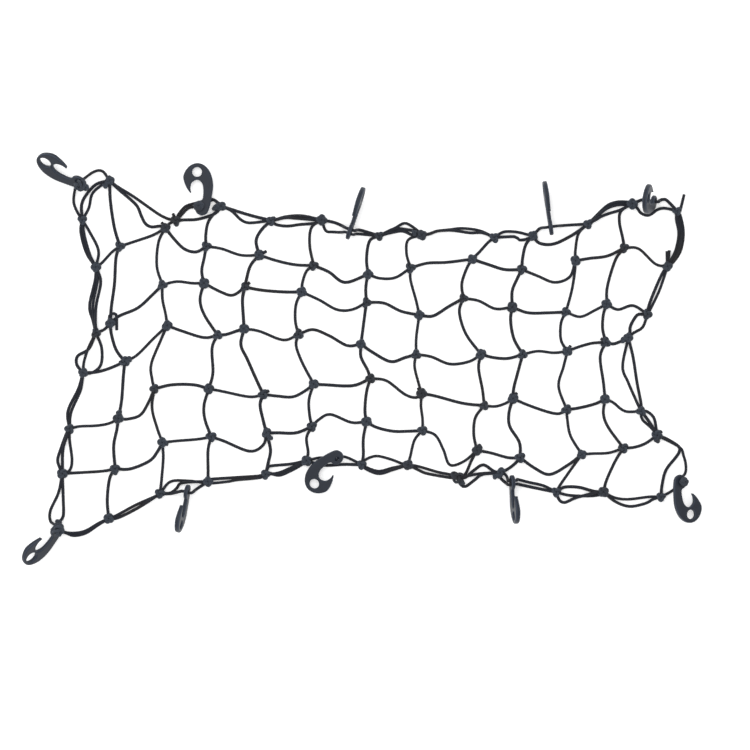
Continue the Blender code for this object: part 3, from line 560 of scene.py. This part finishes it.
def mould_hook(eye, finger=FINGER_RADIUS):
    """A hook lying flat, its eye near the origin and its head towards +Y."""
    bm = bmesh.new()
    outline = smooth_points([Vector(p) for p in HOOK_OUTLINE], OUTLINE_STEP, closed=True)
    edges = edge_ring(bm, outline)
    for (x, y), (wide, high), count in ((FINGER_HOLE, (finger, finger), FINGER_VERTS),
                                        (eye[:2], eye[2:], EYE_VERTS)):
        ring = bmesh.ops.create_circle(bm, segments=count, radius=1.0,
                                       matrix=Matrix.Translation((x, y, 0.0))
                                       @ Matrix.Diagonal((wide, high, 1.0, 1.0)))["verts"]
        edges += list({edge for v in ring for edge in v.link_edges})
    bmesh.ops.triangle_fill(bm, use_beauty=True, use_dissolve=False, edges=edges)
    bmesh.ops.recalc_face_normals(bm, faces=bm.faces)
    half = SHANK_THICK / 2 - EDGE_ROUND
    bottom = list(bm.faces)
    top = bmesh.ops.extrude_face_region(bm, geom=bottom)["geom"]
    top_verts = [g for g in top if isinstance(g, bmesh.types.BMVert)]
    bmesh.ops.translate(bm, verts=bm.verts, vec=(0, 0, -half))
    bmesh.ops.translate(bm, verts=top_verts, vec=(0, 0, 2 * half))
    bmesh.ops.recalc_face_normals(bm, faces=bm.faces)
    caps = [f for f in bm.faces if abs(f.normal.z) > LEVEL]
    for across, up in ROUNDING:
        bmesh.ops.inset_region(bm, faces=caps, use_boundary=True, use_even_offset=False,
                               thickness=across * EDGE_ROUND, depth=up * EDGE_ROUND)
    for v in bm.verts:
        part_way = min(1.0, max(0.0, (v.co.y - SHANK_END) / (HEAD_START - SHANK_END)))
        v.co.z *= 1 + (HEAD_THICK / SHANK_THICK - 1) * part_way * part_way * (3 - 2 * part_way)
    mesh = bpy.data.meshes.new("hook")
    bmesh.ops.scale(bm, verts=bm.verts, vec=(MM, MM, MM))
    bm.to_mesh(mesh)
    bm.free()
    mesh.shade_smooth()
    mesh.materials.append(nylon)
    # This map marks the rounded edges for the paler colour: wear and a painted highlight.
    layer = mesh.uv_layers.new(name="edge_wear_and_highlight_map")
    for face in mesh.polygons:
        steep = 1.0 - abs(face.normal.z)
        on_edge = 1.0 if WEAR_AND_HIGHLIGHT_FROM < steep < WEAR_AND_HIGHLIGHT_TO else 0.0
        for loop in face.loop_indices:
            layer.data[loop].uv = (on_edge, 0.0)
    return mesh


snug_hook = mould_hook(EYE_SNUG)
long_hook = mould_hook(EYE_LONG)
worn_hook = mould_hook(EYE_SNUG, FINGER_WORN)
print("hook, triangles:", sum(len(p.vertices) - 2 for p in snug_hook.polygons))

# %% [markdown]
# Each hook is a copy of the moulding, turned the way it lies and let down until its
# lowest point is just clear of the floor. The turn goes into the mesh, so the object
# itself stays at the origin.

# %% Lay the ten hooks down
def hook_place(name):
    """Where a hook lies, as a matrix in metres, before the net is shifted."""
    x, y, heading, roll, pitch, turned, length = HOOKS[name]
    turn = (Matrix.Rotation(radians(heading - 90), 4, "Z")
            @ Matrix.Rotation(radians(pitch), 4, "X")
            @ Matrix.Rotation(radians(-roll if turned else roll), 4, "Y")
            @ Matrix.Rotation(pi if turned else 0.0, 4, "Y")
            @ Matrix.Scale(length, 4, (0, 1, 0)))
    low = min((turn @ v.co).z for v in snug_hook.vertices)
    return Matrix.Translation((x * MM, y * MM, CLEAR * MM - low)) @ turn


for name in HOOKS:
    copy = (long_hook if name in DOUBLED else worn_hook if name in WORN else snug_hook).copy()
    copy.transform(Matrix.Translation(NET_SHIFT * MM) @ hook_place(name))
    piece = bpy.data.objects.new("moulded_hook_" + name, copy)
    bpy.context.scene.collection.objects.link(piece)
    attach(piece, "root")
    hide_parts("hook_" + name)
print("hooks:", len(HOOKS))

# %% [markdown]
# ## Routes of the cords
# Every length becomes a smooth route of points about 3 mm apart. It starts and ends
# half-way up a knot and comes down to the floor on the way. A cord that carries a hook
# goes through the eye, wherever the lie of the hook has put it.

# %% Routes from knot to knot
CORD = 3.5                 # mm, cord across its sheath
STEP = 3.0                 # mm between the points of a route
KNOT_MIDDLE = 3.6          # mm, height of a knot's middle


def at(row, column):
    """The middle of a knot."""
    return Vector((*KNOTS[row][column], KNOT_MIDDLE))


def is_knot(place):
    """A knot is told by its row and column; other places are told in millimetres."""
    return len(place) == 2 and 0 <= place[0] < len(KNOTS) and 0 <= place[1] < len(KNOTS[0])


def route(places):
    """A smooth route through places, the first and last of which may be knots."""
    last = len(places) - 1
    points = [at(*p) if i in (0, last) and is_knot(p)
              else Vector((p[0], p[1], p[2] if len(p) > 2 else CORD / 2))
              for i, p in enumerate(places)]
    return smooth_points(points, STEP)


routes = [route([(row, column), *points, (row, column + 1)]) for row, column, *points in ACROSS]
routes += [route([(row, column), *points, (row + 1, column)]) for row, column, *points in DOWN]
inner = len(routes)
routes += [route(places) for places in BORDER]
carried = len(routes)
for name, way, start, before, after, end in CARRIERS:
    place = hook_place(name)
    through = [place @ (Vector(p) * MM) / MM for p in ROUTES_IN_EYE[way]]
    last = Vector((*before[-1], 0.0))
    if (through[0] - last).length > (through[-1] - last).length:
        through.reverse()
    routes.append(route([start, *before, *[tuple(p) for p in through], *after, end]))
tails = len(routes)
routes += [route(places) for places in ENDS]
print("routes:", len(routes), "metres of cord:",
      round(sum((a - b).length for r in routes for a, b in zip(r, r[1:])) * MM, 2))

# %% [markdown]
# Where two cords cross or lie closer than their own thickness, the later one has to climb
# over the earlier one, as it would when it is laid down. The climb is worked out point by
# point, then eased to a slope that a springy cord can follow. Close to a knot it is left
# out, because there all cords share the bulk of the knot. The cords in the eyes keep the
# heights that the eyes give them.

# %% Lift each cord over the ones laid before it
KNOT_REACH = 11.0          # mm, within this of a knot's middle cords share its bulk
SLOPE = 0.45               # the steepest climb of a cord over another
CELL = 8.0                 # mm, the floor is kept in squares, to find near cords quickly
PRESSED = 0.94             # crossing cords press a little into each other
SAG = 0.4                  # mm, a cord may settle this far when its climb is eased
EASINGS = 2


def cell_of(p):
    return int(p.x // CELL), int(p.y // CELL)


def climb(points, laid, gap):
    """The heights that points need to pass over the cords already laid."""
    need = []
    for p in points:
        low = CORD / 2
        cell = cell_of(p)
        for i in (-1, 0, 1):
            for j in (-1, 0, 1):
                for q in laid.get((cell[0] + i, cell[1] + j), ()):
                    apart = (p.x - q.x) ** 2 + (p.y - q.y) ** 2
                    if apart < gap * gap:
                        low = max(low, q.z + sqrt(gap * gap - apart))
        need.append(low)
    return need


def near_end(points, index):
    """How far along the cord a point is from the nearer end."""
    return min(index, len(points) - 1 - index) * STEP


laid = {}
for number, points in enumerate(routes):
    fixed = [p.z for p in points]
    free = carried > number or number >= tails
    if number >= inner:
        need = climb(points, laid, CORD * PRESSED)
    else:
        need = [CORD / 2] * len(points)
    need = [CORD / 2 if near_end(points, i) < KNOT_REACH else z for i, z in enumerate(need)]
    lifted = [max(z - SLOPE * abs(i - k) * STEP for k, z in enumerate(need))
              for i in range(len(points))]
    for _ in range(EASINGS):
        lifted = [max(need[i] - SAG, (lifted[max(0, i - 1)] + lifted[i] * 2
                                      + lifted[min(len(lifted) - 1, i + 1)]) / 4)
                  for i in range(len(lifted))]
    for i, p in enumerate(points):
        p.z = max(fixed[i], lifted[i], CORD / 2) if free else max(fixed[i], CORD / 2)
    for i, p in enumerate(points):
        if near_end(points, i) >= KNOT_REACH:
            laid.setdefault(cell_of(p), []).append(p)
print("highest cord, mm:", round(max(p.z for r in routes for p in r), 1))

# %% [markdown]
# ## From routes to cords
# A curve with a round bevel is the quickest way to a cord, and turning it into a mesh
# lets the plait have its own map. The bevel's rings come in order along each cord, so
# the map is simple arithmetic: which corner of the ring a point is on, and how far along
# the cord its ring is. The cut ends are closed last, as a hot knife closes them. The cord
# is a little thinner where it is pulled than where it lies slack, so every length gets
# its own thickness.

# %% Make cords with a map for the plait
RING = 10                  # vertices around a cord
WIDTH_LEAST = 1.02         # thickness of the tightest length, against the usual one
WIDTH_SPREAD = 0.16        # how much more the slackest has
WIDTH_STEPS = 10
WIDTH_STRIDE = 37          # takes each length far from its neighbour in thickness


def make_cords(name, lengths, widths, finish=sheath):
    """One piece of round cords along lengths, each with its own thickness."""
    curve = bpy.data.curves.new(name, "CURVE")
    curve.dimensions = "3D"
    curve.bevel_depth = CORD / 2 * MM
    curve.bevel_resolution = RING // 2 - 2
    curve.use_fill_caps = False
    for points, width in zip(lengths, widths):
        spline = curve.splines.new("POLY")
        spline.points.add(len(points) - 1)
        for target, p in zip(spline.points, points):
            target.co = (*((p + NET_SHIFT) * MM), 1.0)
            target.radius = width
    holder = bpy.data.objects.new(name, curve)
    bpy.context.scene.collection.objects.link(holder)
    graph = bpy.context.evaluated_depsgraph_get()
    mesh = bpy.data.meshes.new_from_object(holder.evaluated_get(graph))
    bpy.data.objects.remove(holder)
    bpy.data.curves.remove(curve)
    mesh.name = name

    total = sum(len(points) for points in lengths)
    if len(mesh.vertices) != total * RING:
        raise RuntimeError(f"{name}: {len(mesh.vertices)} points for {total} rings of {RING}")
    along = []
    for points in lengths:
        run = 0.0
        for i, p in enumerate(points):
            run += (p - points[i - 1]).length if i else 0.0
            along.append(run)
    corner = np.empty(len(mesh.loops), dtype=np.int32)
    mesh.loops.foreach_get("vertex_index", corner)
    turn = (corner % RING).astype(float).reshape(-1, 4)
    wraps = (turn.max(axis=1) - turn.min(axis=1)) > RING / 2
    turn[wraps] = np.where(turn[wraps] == 0, RING, turn[wraps])
    run = np.array(along)[corner // RING]
    layer = mesh.uv_layers.new(name="plait")
    layer.data.foreach_set("uv", np.stack([turn.reshape(-1) / RING, run], axis=1).ravel())
    mesh.materials.append(finish)
    mesh.shade_smooth()
    bm = bmesh.new()
    bm.from_mesh(mesh)
    cut_ends = [edge for edge in bm.edges if edge.is_boundary]
    bmesh.ops.holes_fill(bm, edges=cut_ends, sides=RING)
    bm.to_mesh(mesh)
    bm.free()
    piece = bpy.data.objects.new(name, mesh)
    bpy.context.scene.collection.objects.link(piece)
    return piece


def width_of(number):
    """Cord thickness against its usual one: lengths under pull are thinner."""
    step = (number * WIDTH_STRIDE) % (WIDTH_STEPS + 1)
    return WIDTH_LEAST + WIDTH_SPREAD * step / WIDTH_STEPS


cords = make_cords("net_cord", routes, [width_of(i) for i in range(len(routes))])
print("cord, triangles:", 2 * len(cords.data.polygons))

# %% [markdown]
# ## The knots
# At every crossing the two cords are tied into one tight knot. From above such a knot is
# a lump with three or four small lobes, where the turns come round its outside. A closed
# curve that loops round its middle three or four times has just that shape: each knot is
# a short cord on such a curve, squeezed flat, and turned its own way.

# %% Tie the knots
KNOT_LONG = 14.2           # mm
KNOT_WIDE = 13.2
KNOT_HIGH = 7.2
KNOT_CORD = 1.04           # thickness of a knot's cord, against the usual one
LUMP_SIZE = (9.5, 8.5, 6.4)
LOBE_POINTS = 12           # points of the curve for each lobe
OVERLAP = 2                # points by which its end runs over its start
ROW_TURN, COLUMN_TURN, LUMP_TURN = 37, 61, 53      # degrees: no two neighbours lie alike
# Knots of another size, by row and column, and small extra ones, by place.
ODD_KNOTS = {(6, 0): (9.5, 9.5), (5, 4): (15.5, 11.5), (6, 8): (19.0, 17.0),
             (6, 9): (17.0, 11.5), (5, 12): (15.5, 14.5), (0, 1): (14.0, 13.0),
             (0, 3): (14.5, 13.0), (0, 12): (14.0, 12.0)}
LUMPS = ((-321, 218), (-184, 190), (65, 159), (-292, 1), (326, 25), (-304, -66), (-116, -97),
         (-309, -140), (146, -109), (115, -145), (124, -153), (166, -145), (368, -100))


def knot_turns(middle, size, turn, lobes):
    """A knot's cord: it loops round the middle, once for each lobe."""
    long, wide, high = [s / 2 - CORD / 2 for s in size]
    points = []
    count = LOBE_POINTS * lobes
    for k in range(count + OVERLAP):
        t = 2 * pi * k / count
        x = (sin(t) + 2 * sin((lobes - 1) * t)) / 3 * long
        y = (cos(t) - 2 * cos((lobes - 1) * t)) / 3 * wide
        z = -sin(lobes * t) * high
        p = Matrix.Rotation(turn, 3, "Z") @ Vector((x, y, z))
        points.append(Vector((middle[0], middle[1], size[2] / 2)) + p)
    return points


knots = []
for row, places in enumerate(KNOTS):
    for column, place in enumerate(places):
        long, wide = ODD_KNOTS.get((row, column), (KNOT_LONG + (row + column) % 3 - 1,
                                                   KNOT_WIDE + column % 2))
        knots.append(knot_turns(place, (long, wide, KNOT_HIGH),
                                radians(ROW_TURN * row + COLUMN_TURN * column),
                                3 + (row * 5 + column * 3) % 2))
for index, place in enumerate(LUMPS):
    knots.append(knot_turns(place, LUMP_SIZE, radians(LUMP_TURN * index), 3))
knotted = make_cords("knots", knots, [KNOT_CORD] * len(knots), knot_sheath_painted_highlight)
print("knots:", len(knots), "triangles:", 2 * len(knotted.data.polygons))

# %% [markdown]
# The cord comes up through the eye of a flat hook as a bight and is stopped by a knot on
# the hook's upper face, so the hook can turn but can't slip off. The knot is made in the
# hook's own frame and goes through the same placing as the hook.

# %% Stop the bights with knots
STOP_KNOTS = (             # hook, middle over the eye, size
    ("a", (-2.0, -4.0), (17.5, 15.0, 10.0)), ("a", (-1.0, -10.5), (11.0, 9.0, 6.0)),
    ("b", (-3.4, 1.6), (14.0, 13.0, 7.0)), ("f", (-4.5, -1.0), (16.0, 15.5, 10.0)),
    ("j", (-2.2, 0.2), (12.6, 12.6, 7.4)),
)
STOP_LOBES = 5
STOP_TURN = 25.0           # degrees
BEDDED = 0.8               # mm, the knot is pulled this far down on the hook


def stop_knot(name, middle, size):
    """A knot on the upper face of a hook, over its eye."""
    up = -1 if HOOKS[name][5] else 1
    place = hook_place(name)
    points = []
    for p in knot_turns(middle, size, radians(STOP_TURN), STOP_LOBES):
        local = Vector((p.x, p.y, up * (p.z + SHANK_THICK / 2 - BEDDED)))
        points.append(place @ (local * MM) / MM)
    return points


whipped = make_cords("stop_knots", [stop_knot(*item) for item in STOP_KNOTS],
                     [KNOT_CORD] * len(STOP_KNOTS), knot_sheath_painted_highlight)
print("stop knots:", len(STOP_KNOTS))

for piece in (cords, knotted, whipped):
    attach(piece, "root")
    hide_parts("net")

# %% [markdown]
# ## Floor and light
# The net lies on a pale floor. Black cord on a pale floor needs very soft light from all
# sides, or every cord gets a shadow beside it that hides its true edge. A bright even
# sky does most of it, and one large panel overhead puts a soft sheen on the hooks.

# %% Floor, sky and panel
FLOOR_WHITE = "#FAFAFA"
FLOOR_ROUGH = 0.9
FLOOR_GLOW = 0.3
FLOOR_HALF = 4.0                     # m, from the middle to an edge
SKY_WHITE = "#FFFFFF"
SKY_STRENGTH = 1.0
PANEL_SIZE = 3.0                     # m
PANEL_POWER = 30.0                   # W
PANEL_PLACE = (-0.8, 0.9, 2.6)       # m

floor_finish, tree, shader = new_material("matt_white_floor", FLOOR_WHITE, FLOOR_ROUGH)
shader.inputs["Emission Color"].default_value = linear(FLOOR_WHITE)
shader.inputs["Emission Strength"].default_value = FLOOR_GLOW
bm = bmesh.new()
bmesh.ops.create_grid(bm, x_segments=1, y_segments=1, size=FLOOR_HALF)
mesh = bpy.data.meshes.new("floor")
bm.to_mesh(mesh)
bm.free()
mesh.materials.append(floor_finish)
floor = bpy.data.objects.new("floor", mesh)
bpy.context.scene.collection.objects.link(floor)

world = bpy.data.worlds.new("even_sky")
bpy.context.scene.world = world
world.use_nodes = True
sky = world.node_tree.nodes["Background"]
sky.inputs["Color"].default_value = linear(SKY_WHITE)
sky.inputs["Strength"].default_value = SKY_STRENGTH
bpy.context.scene.view_settings.view_transform = "Standard"

panel = bpy.data.objects.new("panel", bpy.data.lights.new("panel", "AREA"))
panel.data.size = PANEL_SIZE
panel.data.energy = PANEL_POWER
panel.location = PANEL_PLACE
panel.rotation_euler = (-panel.location).to_track_quat("-Z", "Y").to_euler()
bpy.context.scene.collection.objects.link(panel)
